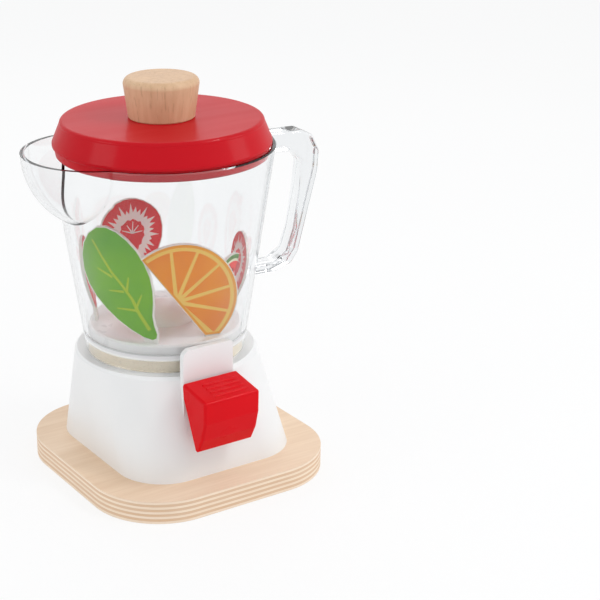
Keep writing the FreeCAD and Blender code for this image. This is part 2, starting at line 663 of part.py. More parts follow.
jug_outside = turned("jug_outside", [
    (0, jug_foot), (jug_radius("(" + jug_foot + ")"), jug_foot),
    (jug_radius("(jug_rim - jug_edge)"), "jug_rim - jug_edge"),
    (jug_radius("jug_rim", "jug_edge"), "jug_rim"), (0, "jug_rim")])
floor_top = "jug_floor_low + jug_floor_thick"
jug_inside = turned("jug_inside", [
    (0, floor_top), (jug_radius("(" + floor_top + ")", "jug_wall"), floor_top),
    (jug_radius("(jug_rim - jug_edge)", "jug_wall"), "jug_rim - jug_edge"),
    (jug_radius("jug_rim", "jug_wall") + " + jug_edge", "jug_rim"),
    (jug_radius("jug_rim", "jug_wall") + " + jug_edge", "jug_rim + 2"), (0, "jug_rim + 2")])
spout_frame = Rotation(Vector(0, 0, 1), number("handle_turn"))
spouts = []
for name, radius, rise in (("spout_outside", "spout_radius", 0),
                           ("spout_inside", "spout_radius - spout_wall", 0.01)):
    ball = doc.addObject("Part::Sphere", name)
    bind(ball, "Radius", radius)
    ball.Angle1 = -90
    ball.Angle2 = 0
    place(ball, "-spout_reach * cos(handle_turn)", "-spout_reach * sin(handle_turn)",
          "jug_rim + %s" % rise)
    spouts.append(ball)
HANDLE_OUTER = [(60, 198.4), (86.5, 198.4), (94.6, 194.6), (99, 185), (98.2, 172), (92.8, 150.5),
                (86, 122.5), (81, 115), (70, 111), (53, 110.3)]
HANDLE_INNER = [(60, 186.2), (82, 185.4), (87.4, 178.5), (86, 162), (82.2, 137), (77.8, 123.5),
                (70, 117.8), (53, 117)]
handle_points = [("jug_rim_radius - 66 + %.1f" % r, "jug_rim - 199.1 + %.1f" % z)
                 for r, z in HANDLE_OUTER + HANDLE_INNER[::-1]]
handle = padded("handle_loop", "XZ_Plane", handle_points, "handle_width")


def side_line(edge):
    return abs(direction(edge).y) < 0.5 and abs(edge.Vertexes[0].Point.y) > 1 and \
        max(v.Point.x for v in edge.Vertexes) > 61


def cross_line(edge):
    spot = edge.Vertexes[0].Point
    return abs(direction(edge).y) > 0.5 and spot.x > 64


rounded(handle, "handle_edge * 2", cross_line)
rounded(handle, "handle_round", side_line)
place(handle, 0, 0, 0, spout_frame)
jug_solid = fuse("jug_solid", [jug_outside, spouts[0], handle])
jug_voids = [
    jug_inside,
    cylinder("jug_foot_void", jug_radius("(" + jug_foot + ")", "jug_wall"),
             "jug_floor_low - house_top + 2", (0, 0, "house_top - 2")),
    cylinder("jug_floor_hole", "stub_radius + run_gap", 20, (0, 0, "jug_floor_low - 5"))]
node(cut("jug", cut("jug_with_spout", jug_solid, [spouts[1]]), jug_voids), "jug")

# Rotor: disc, dome and stub in one, driven by a hexagon under the jug floor.
socket = doc.addObject("Part::Prism", "rotor_socket")
socket.Polygon = 6
bind(socket, "Circumradius", "hex_radius + 0.2")
bind(socket, "Height", "hex_top + seat_gap - stub_low + 1")
place(socket, 0, 0, "stub_low - 1")
dome_points = [(0, "rotor_low"), ("rotor_radius", "rotor_low"),
               ("rotor_radius", "rotor_low + rotor_thick - 1"),
               ("rotor_radius - 1", "rotor_low + rotor_thick"),
               ("dome_radius", "rotor_low + rotor_thick")]
for i in range(1, ROUND_POINTS):
    angle = math.radians(90.0 * i / ROUND_POINTS)
    dome_points.append(("dome_radius * %.5f" % math.cos(angle),
                        "rotor_low + rotor_thick + dome_height * %.5f" % math.sin(angle)))
dome_points.append((0, "rotor_low + rotor_thick + dome_height"))
rotor_top = "rotor_low + rotor_thick"
rotor_solid = fuse("rotor_solid", [
    turned("rotor_turned", dome_points),
    cylinder("rotor_stub", "stub_radius", "rotor_low - stub_low + 1", (0, 0, "stub_low"))])


# Printed fruit shapes: flat plates that stand on the rotor near its rim.
# Local frame: x sideways, z up, y outwards; the plate leans out with the jug wall.
def stand(item, azimuth, away, lean):
    turn = Rotation(Vector(0, 0, 1), azimuth + 90)
    tilt = Rotation(Vector(1, 0, 0), lean)
    item.Placement = Placement(Vector(0, 0, 0), turn.multiply(tilt))
    bind(item, "Placement.Base.x", "%s * cos(%s)" % (away, azimuth))
    bind(item, "Placement.Base.y", "%s * sin(%s)" % (away, azimuth))
    bind(item, "Placement.Base.z", rotor_top)
    return item


def disc(name, radius, x, z, start=0, sweep=360):
    """Thin upright disc, or a sector of one, in the plate's frame."""
    turn = Rotation(Vector(1, 0, 0), 90).multiply(Rotation(Vector(0, 0, 1), start))
    return cylinder(name, radius, "print_thick", (x, "print_thick / 2", z), turn, sweep)


def above(name, low):
    """Slab that keeps what lies above a height in the plate's frame."""
    return box(name, (160, "print_thick", 120), ("-80", "-print_thick / 2", low))


def foot(name, x, top):
    return box(name, ("foot_width", "print_thick", "foot_depth + " + top),
               (x + " - foot_width / 2", "-print_thick / 2", "-foot_depth"))


def plate(name, points, scale=1.0):
    """Upright plate from its outline in the plate's frame."""
    half = number("print_thick") / 2
    corners = [Vector(x * scale, half, z * scale) for x, z in points]
    return raw(name, Part.Face(Part.makePolygon(corners + corners[:1])).extrude(
        Vector(0, -2 * half, 0)))


# outlines of the leaf, and of the right half of a sliced berry
LEAF = [(-10.5, 71.3), (-16.3, 70.4), (-21.8, 66), (-25.4, 59.5), (-27.1, 51.5), (-26.9, 42),
        (-24.8, 33), (-20.8, 25), (-15.2, 17.8), (-8, 11.2), (0, 6), (7.5, 2.6), (13.3, 1.6),
        (16.2, 3.2), (17, 6.4), (15.6, 11.6), (15, 18), (16.2, 26), (16.6, 34.5), (15.5, 43.5),
        (12.4, 52), (8.2, 58.8), (2.6, 64.8), (-3.8, 69.2)]
BERRY_HALF = [(3, 8), (7, 13), (12.5, 20), (17.3, 27.5), (20.4, 34.5), (21.4, 41.5), (20.5, 48),
              (18.2, 52.4), (14.6, 56.2), (9.6, 59.4), (4.4, 61.4)]
BERRY = BERRY_HALF + [(0, 61.8)] + [(-x, z) for x, z in BERRY_HALF[::-1]]


def leaf_print():
    return [plate("leaf_blade", LEAF), foot("leaf_foot", "12", "9")]


def orange_print():
    return [common("orange_half", [disc("orange_disc", 36.6, "-6.2", "24.9", -54, 180),
                                   above("orange_above", "0.4")]),
            foot("orange_foot", "16", "8")]


def melon_print():
    return [disc("melon_slice", 28, "0", "18", 62, 56), foot("melon_foot", "0", "22")]


def berry_print(name, scale):
    return [plate(name + "_fruit", BERRY, scale), foot(name + "_foot", "0", "18")]


# For each print: azimuth, distance from the axis, lean and place of its foot.
PRINTS = {
    "print_leaf": (-148.6, 39, 8, "12", leaf_print()),
    "print_orange": (-102.6, 37.2, 6, "16", orange_print()),
    "print_melon": (-58, 36.5, 8, "0", melon_print()),
    "print_berry_a": (-21, 41, 9, "0", berry_print("berry_a", 0.82)),
    "print_berry_b": (85, 40, 9, "0", berry_print("berry_b", 1)),
    "print_berry_c": (150, 41, 9, "0", berry_print("berry_c", 0.85)),
}
foot_slots = []
for label, (azimuth, away, lean, foot_x, shapes) in PRINTS.items():
    node(stand(fuse(label, shapes), azimuth, away, lean), label)
    halves = [box("%s_slot_%s" % (label, side), ("foot_width / 2 + press_gap",
                                                 "print_thick + 2 * press_gap",
                                                 "foot_depth + 12"),
                  (foot_x + start, "-print_thick / 2 - press_gap", "-foot_depth - press_gap"))
              for side, start in (("left", " - foot_width / 2 - press_gap"), ("right", ""))]
    foot_slots.append(stand(fuse(label + "_seat", halves), azimuth, away, lean))
node(cut("rotor_disc", rotor_solid, [socket] + foot_slots), "rotor_disc")

# Lid, plug, knob and dowel.
lid_low = "jug_rim + seat_gap"
hole_radius = "dowel_radius + press_gap"
dowel_low = "lid_top - dowel_length / 2"
lid_points = [(0, lid_low), ("lid_radius - 0.6", lid_low), ("lid_radius", lid_low + " + 0.6"),
              ("lid_radius", lid_low + " + lid_band - 0.6"),
              ("lid_radius - 0.4", lid_low + " + lid_band + 0.4"),
              ("lid_top_radius + lid_round", "lid_top - lid_round")]
for i in range(1, 6):
    angle = math.radians(90.0 * i / 6)
    lid_points.append(("lid_top_radius + lid_round * %.5f" % math.cos(angle),
                       "lid_top - lid_round + lid_round * %.5f" % math.sin(angle)))
lid_points += [("lid_top_radius", "lid_top"), (0, "lid_top")]
dowel_hole = cylinder("lid_dowel_hole", hole_radius, "dowel_length + 2 * seat_gap",
                      (0, 0, dowel_low + " - seat_gap"))
node(cut("lid_disc", turned("lid_turned", lid_points), [dowel_hole]), "lid_disc")
node(turned("lid_plug", [
    (0, "plug_low"), (jug_radius("(plug_low)", "jug_wall + plug_gap") + " - 1", "plug_low"),
    (jug_radius("(plug_low)", "jug_wall + plug_gap"), "plug_low + 1"),
    (jug_radius("(jug_rim)", "jug_wall + plug_gap"), lid_low), (0, lid_low)]), "lid_plug")
knob_points = [(0, "lid_top"), ("knob_foot_radius - 0.6", "lid_top"),
               ("knob_foot_radius", "lid_top + 0.6"),
               ("knob_radius", "knob_top - knob_round")]
for i in range(1, 7):
    angle = math.radians(90.0 * i / 7)
    knob_points.append(("knob_radius - knob_round + knob_round * %.5f" % math.cos(angle),
                        "knob_top - knob_round + knob_round * %.5f" % math.sin(angle)))
knob_points += [("knob_radius - knob_round", "knob_top"), (0, "knob_top")]
knob_hole = cylinder("knob_dowel_hole", hole_radius, "dowel_length + 2 * seat_gap",
                     (0, 0, dowel_low + " - seat_gap"))
node(cut("lid_knob", turned("knob_turned", knob_points), [knob_hole]), "lid_knob")
node(cylinder("lid_dowel", "dowel_radius", "dowel_length", (0, 0, dowel_low)), "lid_dowel")

doc.recompute()

for item in doc.Objects:
    bad = [s for s in item.State if s in ("Invalid", "Error")]
    if bad:
        raise RuntimeError("%s is %s" % (item.Name, bad))
for item in NODES:
    shape = item.Shape
    if shape.isNull() or not shape.isValid():
        raise RuntimeError("%s has no valid shape" % item.Label)
    if len(shape.Solids) != 1:
        print("note: %s has %d solids" % (item.Label, len(shape.Solids)))
    shape.exportStep("parts/%s.step" % item.Label)
    print("%-18s volume %10.1f  z %.1f to %.1f" % (item.Label, shape.Volume, shape.BoundBox.ZMin,
                                                   shape.BoundBox.ZMax))
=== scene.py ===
import math

import bpy
import bmesh
from mathutils import Matrix, Vector


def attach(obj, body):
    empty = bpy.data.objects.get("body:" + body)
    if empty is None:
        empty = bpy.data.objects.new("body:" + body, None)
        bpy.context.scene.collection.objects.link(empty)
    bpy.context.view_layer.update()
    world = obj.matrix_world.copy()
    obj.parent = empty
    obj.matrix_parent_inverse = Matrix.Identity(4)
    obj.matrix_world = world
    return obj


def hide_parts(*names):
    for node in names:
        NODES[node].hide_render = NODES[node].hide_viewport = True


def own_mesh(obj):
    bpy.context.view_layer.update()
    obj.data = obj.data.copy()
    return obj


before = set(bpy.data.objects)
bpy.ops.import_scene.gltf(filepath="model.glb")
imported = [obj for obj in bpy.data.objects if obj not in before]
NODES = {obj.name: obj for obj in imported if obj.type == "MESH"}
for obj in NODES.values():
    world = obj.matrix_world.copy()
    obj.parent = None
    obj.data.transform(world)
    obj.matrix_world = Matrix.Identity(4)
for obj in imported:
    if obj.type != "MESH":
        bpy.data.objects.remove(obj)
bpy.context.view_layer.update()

# Lengths are in metres, and those written as so many millimetres are multiplied by MM.
MM = 0.001

# Sizes of the part that the looks follow, in millimetres
BOARD_THICK = 13.7
JUG_FLOOR_MIDDLE = 85.2
ROTOR_TOP = 92.4
PLATE_THICK = 1.6

# Nearly all of a noise lies between LOW and HIGH. The crisp pair is closer together, which
# makes its edges harder.
LOW, HIGH = 0.3, 0.7
CRISP_LOW, CRISP_HIGH = 0.35, 0.65
# Edges that bend by more degrees than this are drawn sharp.
SHARP_ANGLE = 28


# Node helpers

class Nodes:
    """Short ways to add nodes to a node tree."""

    def __init__(self, tree):
        self.tree = tree

    def add(self, kind, **props):
        node = self.tree.nodes.new(kind)
        for key, value in props.items():
            setattr(node, key, value)
        return node

    def link(self, source, target):
        self.tree.links.new(source, target)

    def feed(self, socket, value):
        """Sets a number or a colour on a socket, or links an output to it."""
        if isinstance(value, (int, float)):
            socket.default_value = value
        elif isinstance(value, tuple):
            socket.default_value = value + (1,)
        else:
            self.link(value, socket)

    def math(self, kind, first, second=None):
        node = self.add("ShaderNodeMath", operation=kind)
        self.feed(node.inputs[0], first)
        if second is not None:
            self.feed(node.inputs[1], second)
        return node.outputs[0]

    def mix_shaders(self, share, first, second):
        node = self.add("ShaderNodeMixShader")
        for socket, source in zip(node.inputs, (share, first, second)):
            self.link(source, socket)
        return node.outputs[0]

    def background_ray(self):
        """1 for a ray that shows the background: seen, mirrored or through clear plastic."""
        path = self.add("ShaderNodeLightPath")
        seen = self.math("MAXIMUM", path.outputs["Is Camera Ray"], path.outputs["Is Glossy Ray"])
        return self.math("MAXIMUM", seen, path.outputs["Is Transmission Ray"])


class Shader(Nodes):
    """A new material with its Principled shader."""

    def __init__(self, name, rough, **inputs):
        self.mat = bpy.data.materials.new(name)
        self.mat.use_nodes = True
        super().__init__(self.mat.node_tree)
        self.main = self.tree.nodes["Principled BSDF"]
        self.end = self.tree.nodes["Material Output"]
        self.main.inputs["Roughness"].default_value = rough
        for key, value in inputs.items():
            self.main.inputs[key.replace("_", " ")].default_value = value

    def place(self, scale=(1, 1, 1), turn=0):
        """Object coordinates, stretched and turned about Z by so many degrees."""
        coords = self.add("ShaderNodeTexCoord")
        mapping = self.add("ShaderNodeMapping")
        mapping.inputs["Scale"].default_value = scale
        mapping.inputs["Rotation"].default_value = (0, 0, math.radians(turn))
        self.link(coords.outputs["Object"], mapping.inputs["Vector"])
        return mapping.outputs["Vector"]

    def height(self, vector):
        """The Z of a vector."""
        split = self.add("ShaderNodeSeparateXYZ")
        self.link(vector, split.inputs["Vector"])
        return split.outputs["Z"]

    def noise(self, vector, scale, detail=3.0, rough=0.5, distortion=0.0):
        node = self.add("ShaderNodeTexNoise")
        for key, number in (("Scale", scale), ("Detail", detail), ("Roughness", rough),
                            ("Distortion", distortion)):
            node.inputs[key].default_value = number
        self.link(vector, node.inputs["Vector"])
        return node.outputs["Fac"]

    def ramp(self, value, stops, stepped=False):
        node = self.add("ShaderNodeValToRGB")
        node.color_ramp.interpolation = "CONSTANT" if stepped else "LINEAR"
        band = node.color_ramp.elements
        while len(band) < len(stops):
            band.new(0.5)
        for element, (spot, colour) in zip(band, stops):
            element.position = spot
            element.color = colour + (1,)
        self.link(value, node.inputs["Fac"])
        return node.outputs["Color"]

    def tones(self, value, deep, light, low=LOW, high=HIGH):
        """Two colours, one below the low value and one above the high value."""
        return self.ramp(value, [(low, deep), (high, light)])

    def span(self, value, low, high, to_low, to_high):
        node = self.add("ShaderNodeMapRange")
        for key, number in (("From Min", low), ("From Max", high),
                            ("To Min", to_low), ("To Max", to_high)):
            node.inputs[key].default_value = number
        self.link(value, node.inputs["Value"])
        return node.outputs["Result"]

    def blend(self, share, first, second):
        node = self.add("ShaderNodeMix", data_type="RGBA", blend_type="MIX")
        share_socket, first_socket, second_socket = node.inputs[0], node.inputs[6], node.inputs[7]
        self.feed(share_socket, share)
        self.feed(first_socket, first)
        self.feed(second_socket, second)
        return node.outputs[2]

    def colour(self, source):
        self.link(source, self.main.inputs["Base Color"])

    def rough(self, source):
        self.link(source, self.main.inputs["Roughness"])

    def bump(self, height, strength, distance):
        node = self.add("ShaderNodeBump")
        node.inputs["Strength"].default_value = strength
        node.inputs["Distance"].default_value = distance
        self.link(height, node.inputs["Height"])
        self.link(node.outputs["Normal"], self.main.inputs["Normal"])


# Materials. A noise's scale is in cells per metre.

def plastic(name, light, deep, rough, **inputs):
    """Moulded plastic: a faint drift of tone, uneven gloss and a fine skin."""
    s = Shader(name, rough, **inputs)
    spot = s.place()
    s.colour(s.tones(s.noise(spot, scale=22, detail=2), deep, light))
    s.rough(s.span(s.noise(spot, scale=60), LOW, HIGH, rough * 0.88, rough * 1.12))
    s.bump(s.noise(spot, scale=900, detail=2), strength=0.05, distance=0.05 * MM)
    return s.mat


def stretched(stretch, across, along_grain):
    """A stretch made finer, by one factor across the grain and another along it."""
    return tuple(v * across if v >= 1 else v * along_grain for v in stretch)


def timber(name, light, dark, stretch, rough):
    """Wood with broad figure, fine streaks and short pores along the stretched axis."""
    s = Shader(name, rough)
    broad = s.noise(s.place(stretch), scale=55, detail=4, rough=0.6, distortion=0.6)
    streak = s.noise(s.place(stretched(stretch, 5, 1.5)), scale=70)
    flecks = s.noise(s.place(stretched(stretch, 9, 4)), scale=90, detail=2)
    middle = tuple((a + b) / 2 for a, b in zip(light, dark))
    pore = tuple(v * 0.72 for v in dark)
    tone = s.ramp(broad, [(0.32, dark), (0.5, middle), (0.68, light)])
    tone = s.blend(0.35, tone, s.tones(streak, dark, light, CRISP_LOW, CRISP_HIGH))
    s.colour(s.blend(s.span(flecks, 0.60, 0.72, 0.0, 0.5), tone, pore))
    s.rough(s.span(broad, LOW, HIGH, rough * 0.9, rough * 1.15))
    s.bump(streak, strength=0.12, distance=0.1 * MM)
    return s.mat


def plywood():
    """Birch plywood: pale veneer on the faces, alternating plies on the edge."""
    ply_count = 9
    veneer_light, veneer_dark = (0.90, 0.70, 0.52), (0.76, 0.54, 0.36)
    pale, tan, deep = (0.93, 0.77, 0.61), (0.74, 0.50, 0.32), (0.60, 0.40, 0.25)
    streak_colour = (0.80, 0.60, 0.43)
    s = Shader("plywood", 0.55)

    broad = s.noise(s.place((0.10, 1, 1), turn=3), scale=48, detail=4, rough=0.6, distortion=0.5)
    fine = s.noise(s.place((0.3, 5, 1)), scale=80)
    veneer = s.tones(broad, veneer_dark, veneer_light)
    veneer = s.blend(0.3, veneer, s.tones(fine, veneer_dark, veneer_light, CRISP_LOW, CRISP_HIGH))

    wave = s.noise(s.place((1, 1, 2)), scale=26, detail=2)
    waver = s.span(wave, 0, 1, -0.35 * MM, 0.35 * MM)
    share = s.math("DIVIDE", s.math("ADD", s.height(s.place()), waver), BOARD_THICK * MM)
    plies = s.ramp(share, [(i / ply_count, (pale, tan)[i % 2]) for i in range(ply_count)], True)
    within = s.math("FRACT", s.math("MULTIPLY", share, float(ply_count)))
    from_middle = s.math("ABSOLUTE", s.math("SUBTRACT", within, 0.5))
    plies = s.blend(s.span(from_middle, 0.42, 0.5, 0.0, 0.55), plies, deep)
    streaks = s.noise(s.place((1, 1, 14)), scale=60)
    plies = s.blend(s.span(streaks, CRISP_LOW, CRISP_HIGH, 0.0, 0.35), plies, streak_colour)

    facing = s.height(s.add("ShaderNodeNewGeometry").outputs["Normal"])
    flat = s.span(s.math("ABSOLUTE", facing), 0.75, 0.9, 0.0, 1.0)
    s.colour(s.blend(flat, plies, veneer))
    s.rough(s.span(broad, LOW, HIGH, 0.5, 0.62))
    s.bump(fine, strength=0.08, distance=0.08 * MM)
    return s.mat


def lacquer():
    """Red gloss lacquer over turned wood, with a trace of grain under it."""
    s = Shader("red_lacquer", 0.42, Specular_IOR_Level=0.05, Coat_Weight=0.18,
               Coat_Roughness=0.16)
    grain = s.noise(s.place((0.12, 1, 1)), scale=90, detail=4)
    red = s.tones(s.noise(s.place(), scale=18, detail=2), (0.53, 0.002, 0.009),
                  (0.58, 0.003, 0.011))
    s.colour(s.blend(s.span(grain, CRISP_LOW, CRISP_HIGH, 0.0, 0.15), red, (0.47, 0.002, 0.007)))
    s.rough(s.span(grain, LOW, HIGH, 0.40, 0.46))
    s.bump(grain, strength=0.04, distance=0.05 * MM)
    return s.mat


def steel():
    """Brushed steel, streaked round the Z axis."""
    s = Shader("steel", 0.3, Metallic=1.0)
    brushed = s.noise(s.place((1, 1, 20)), scale=300)
    s.colour(s.tones(brushed, (0.52, 0.52, 0.53), (0.64, 0.64, 0.65)))
    s.rough(s.span(brushed, LOW, HIGH, 0.24, 0.36))
    return s.mat


def clear():
    """Clear moulded plastic with a trace of grey in its thickness and a milky floor.

    Light from the lamps passes it, because refraction alone would leave its inside dark.
    """
    floor_half, floor_fade = 1.4, 2.2
    milky, light_passed = 0.30, 0.9
    s = Shader("clear_jug", 0.02, IOR=1.45, Transmission_Weight=1.0, Specular_IOR_Level=0.1)
    spot = s.place()
    s.colour(s.tones(s.noise(spot, scale=15, detail=2), (0.97, 0.975, 0.98), (0.985, 0.99, 0.99)))
    s.rough(s.span(s.noise(spot, scale=30, detail=2), LOW, HIGH, 0.0, 0.012))
    s.bump(s.noise(spot, scale=12, detail=1), strength=0.03, distance=0.3 * MM)

    above_floor = s.math("SUBTRACT", s.height(spot), JUG_FLOOR_MIDDLE * MM)
    clearness = s.span(s.math("ABSOLUTE", above_floor), floor_half * MM, floor_fade * MM, milky, 1.0)
    s.link(clearness, s.main.inputs["Transmission Weight"])

    depth = s.add("ShaderNodeVolumeAbsorption")
    depth.inputs["Color"].default_value = (0.62, 0.66, 0.70, 1)
    depth.inputs["Density"].default_value = 17
    s.link(depth.outputs[0], s.end.inputs["Volume"])

    path = s.add("ShaderNodeLightPath")
    passed = s.add("ShaderNodeBsdfTransparent")
    passed.inputs["Color"].default_value = (0.93, 0.93, 0.93, 1)
    share = s.math("MULTIPLY", path.outputs["Is Shadow Ray"], light_passed)
    s.link(s.mix_shaders(share, s.main.outputs[0], passed.outputs[0]), s.end.inputs["Surface"])
    return s.mat


WHITE = plastic("housing_white", (0.87, 0.87, 0.865), (0.84, 0.84, 0.835), rough=0.38)
ROTOR_WHITE = plastic("rotor_white", (0.88, 0.875, 0.87), (0.85, 0.845, 0.84), rough=0.3)
RED_PLASTIC = plastic("lever_red", (0.72, 0.002, 0.008), (0.66, 0.002, 0.006), rough=0.30,
                      Specular_IOR_Level=0.03, Coat_Weight=0.16, Coat_Roughness=0.14)
GREY = plastic("inner_grey", (0.32, 0.33, 0.35), (0.27, 0.28, 0.30), rough=0.5)
GEAR = plastic("gear_cream", (0.80, 0.76, 0.66), (0.74, 0.70, 0.60), rough=0.42)
BEECH = timber("beech", (0.74, 0.50, 0.31), (0.59, 0.36, 0.20), (1, 1, 0.12), rough=0.5)
SEAT_WOOD = timber("seat_wood", (0.95, 0.85, 0.68), (0.90, 0.78, 0.60), (1, 0.1, 1), rough=0.55)
PLYWOOD, LACQUER, STEEL, CLEAR = plywood(), lacquer(), steel(), clear()

FINISH = {
    "base_board": PLYWOOD, "base_housing": WHITE, "jug_seat": SEAT_WOOD, "jug": CLEAR,
    "rotor_disc": ROTOR_WHITE, "lid_disc": LACQUER, "lid_plug": LACQUER, "lid_knob": BEECH,
    "lid_dowel": BEECH, "lever_knob": RED_PLASTIC, "lever_carriage": GREY, "gear_bracket": GREY,
    "guide_block": GREY, "shaft_bush": GREY, "rack_pinion": GEAR, "bevel_wheel": GEAR,
    "bevel_pinion": GEAR,
}
for name, obj in NODES.items():
    if obj.type != "MESH":
        continue
    obj.data.materials.clear()
    obj.data.materials.append(FINISH.get(name, STEEL))
    for face in obj.data.polygons:
        face.use_smooth = True
        face.material_index = 0
    obj.data.set_sharp_from_angle(angle=math.radians(SHARP_ANGLE))


# Printed fruit shapes. Each is a plate with thin layers of ink on both faces. A layer is an
# outline, the height of its ink above the plate, and the ink's name. Outlines are in
# millimetres across and up, from the middle of the plate's lower edge.

PLATE = plastic("print_edge", (0.86, 0.84, 0.80), (0.80, 0.78, 0.74), rough=0.45)
INK_TONES = {
    "green": ((0.22, 0.52, 0.004), (0.10, 0.36, 0.008)),
    "vein": ((0.46, 0.60, 0.010), (0.38, 0.52, 0.008)),
    "orange": ((0.95, 0.34, 0.001), (0.84, 0.19, 0.001)),
    "peel": ((0.92, 0.40, 0.006), (0.84, 0.30, 0.004)),
    "pith": ((0.93, 0.62, 0.13), (0.91, 0.56, 0.10)),
    "melon": ((0.86, 0.07, 0.05), (0.76, 0.04, 0.035)),
    "rind": ((0.10, 0.28, 0.04), (0.06, 0.19, 0.03)),
    "cream": ((0.80, 0.82, 0.62), (0.72, 0.76, 0.54)),
    "berry": ((0.84, 0.008, 0.020), (0.74, 0.006, 0.014)),
    "flesh": ((0.94, 0.86, 0.86), (0.93, 0.78, 0.79)),
    "pip": ((0.03, 0.02, 0.015), (0.02, 0.012, 0.01)),
}
INK = {ink: plastic("print_" + ink, light, deep, rough=0.42, Specular_IOR_Level=0.08)
       for ink, (light, deep) in INK_TONES.items()}
FOOT_HALF, FOOT_DEPTH = 4.5, 2.9


def prism(bm, points, proud, slot):
    """Adds a flat plate with an outline in the local x-z plane."""
    half = PLATE_THICK / 2 + proud
    rings = [[bm.verts.new(Vector((x, y, z)) * MM) for x, z in points] for y in (-half, half)]
    faces = [bm.faces.new(rings[0]), bm.faces.new(rings[1][::-1])]
    count = len(points)
    for i in range(count):
        j = (i + 1) % count
        faces.append(bm.faces.new((rings[0][j], rings[0][i], rings[1][i], rings[1][j])))
    for face in faces:
        face.material_index = slot


def around(centre, radius, angle):
    """The point at a distance and an angle from a centre."""
    turn = math.radians(angle)
    return (centre[0] + radius * math.cos(turn), centre[1] + radius * math.sin(turn))


def arc(centre, radius, start, stop, count):
    return [around(centre, radius, start + (stop - start) * i / count) for i in range(count + 1)]


def inset(points, margin):
    """The outline moved inwards by a margin, corner by corner."""
    corners = [Vector(p) for p in points]
    after = corners[1:] + corners[:1]
    area = sum(a.x * b.y - b.x * a.y for a, b in zip(corners, after))
    side = 1 if area > 0 else -1
    result = []
    for a, b, c in zip(corners[-1:] + corners[:-1], corners, after):
        u, v = (b - a).normalized(), (c - b).normalized()
        inward = Vector((-u.y - v.y, u.x + v.x)) * side
        result.append(tuple(b + inward.normalized() * margin))
    return result


def strip(a, b, wide_a, wide_b):
    """Tapered line from one point to another."""
    a, b = Vector(a), Vector(b)
    along_line = (b - a).normalized()
    side = Vector((-along_line.y, along_line.x))
    return [tuple(a + side * wide_a / 2), tuple(a - side * wide_a / 2),
            tuple(b - side * wide_b / 2), tuple(b + side * wide_b / 2)]


def drop(centre, length, width, angle):
    """Small pointed oval, such as a seed."""
    count, point = 14, 0.35
    c, s = math.cos(math.radians(angle)), math.sin(math.radians(angle))
    points = []
    for i in range(count):
        t = 2 * math.pi * i / count
        x = width / 2 * math.sin(t) * (1 + point * math.cos(t))
        y = -length / 2 * math.cos(t)
        points.append((centre[0] + x * c - y * s, centre[1] + x * s + y * c))
    return points


def foot(x, top):
    """Tongue of the plate that stands in the rotor's slot."""
    outline = [(x - FOOT_HALF, -FOOT_DEPTH), (x + FOOT_HALF, -FOOT_DEPTH), (x + FOOT_HALF, top),
               (x - FOOT_HALF, top)]
    return (outline, 0, "plate")


LEAF = [(-10.5, 71.3), (-16.3, 70.4), (-21.8, 66), (-25.4, 59.5), (-27.1, 51.5), (-26.9, 42),
        (-24.8, 33), (-20.8, 25), (-15.2, 17.8), (-8, 11.2), (0, 6), (7.5, 2.6), (13.3, 1.6),
        (16.2, 3.2), (17, 6.4), (15.6, 11.6), (15, 18), (16.2, 26), (16.6, 34.5), (15.5, 43.5),
        (12.4, 52), (8.2, 58.8), (2.6, 64.8), (-3.8, 69.2)]
MAIN_VEIN = [(-19.5, 62), (-14.5, 52), (-9.5, 43), (-3.5, 35.5), (2.5, 27), (6, 18.5), (12, 8.5)]
SIDE_VEINS = [((-18, 44), (-9, 39.5)), ((1.5, 41), (-0.5, 32)), ((-8, 19.5), (4.5, 20)),
              ((-12, 30.5), (-2.5, 31)), ((9, 31), (4.5, 21.5))]


def leaf():
    """Leaf with a main vein that widens towards the stalk, and side veins."""
    tip_width, growth = 1, 0.25
    side_tip, side_root = 0.7, 1.7
    layers = [foot(12, 7), (LEAF, 0, "plate"), (inset(LEAF, 0.6), 0.12, "green")]
    for i, (far, near) in enumerate(zip(MAIN_VEIN, MAIN_VEIN[1:])):
        wide = tip_width + growth * i
        layers.append((strip(far, near, wide, wide + growth), 0.2, "vein"))
    for far, near in SIDE_VEINS:
        layers.append((strip(far, near, side_tip, side_root), 0.18, "vein"))
    return layers


def orange():
    """Half slice of an orange, cut slantwise, with its segments."""
    centre, radius = (-6.2, 24.9), 36.4
    low_edge, cut_lean = 0.5, 36
    first, step, gap = -46, 28.6, 1.6
    hub_radius, rind = 5, 4.4
    edge = [p for p in arc(centre, radius, -52.5, 126, 60) if p[1] > low_edge]
    left = centre[0] + (centre[1] - low_edge) * math.tan(math.radians(cut_lean))
    outline = [(left, low_edge), (edge[0][0] - 0.4, low_edge)] + edge
    layers = [foot(16, 7), (outline, 0, "plate"), (inset(outline, 0.6), 0.10, "peel"),
              (inset(outline, 2.2), 0.14, "pith")]
    for i in range(6):
        start, stop = first + i * step + gap, first + (i + 1) * step - gap
        hub = around(centre, hub_radius, (start + stop) / 2)
        wedge = [hub] + arc(centre, radius - rind, start, stop, 10)
        if min(p[1] for p in wedge) > 1.5:
            layers.append((wedge, 0.2, "orange"))
    return layers


def melon():
    """Wedge of a melon, point down, with pips."""
    apex, radius = (0, 18), 28

    def wedge(reach):
        return [apex] + arc(apex, reach, 62, 118, 24)

    layers = [foot(0, 23), (wedge(radius), 0, "plate"), (inset(wedge(radius), 0.5), 0.10, "rind"),
              (inset(wedge(radius - 2.6), 0.5), 0.14, "cream"),
              (inset(wedge(radius - 4.2), 0.5), 0.18, "melon")]
    for angle, reach in ((75, 18), (90, 20), (105, 18), (82, 13), (98, 13)):
        pip = drop(around(apex, reach, angle), 2.6, 1.5, angle - 90)
        layers.append((pip, 0.24, "pip"))
    return layers


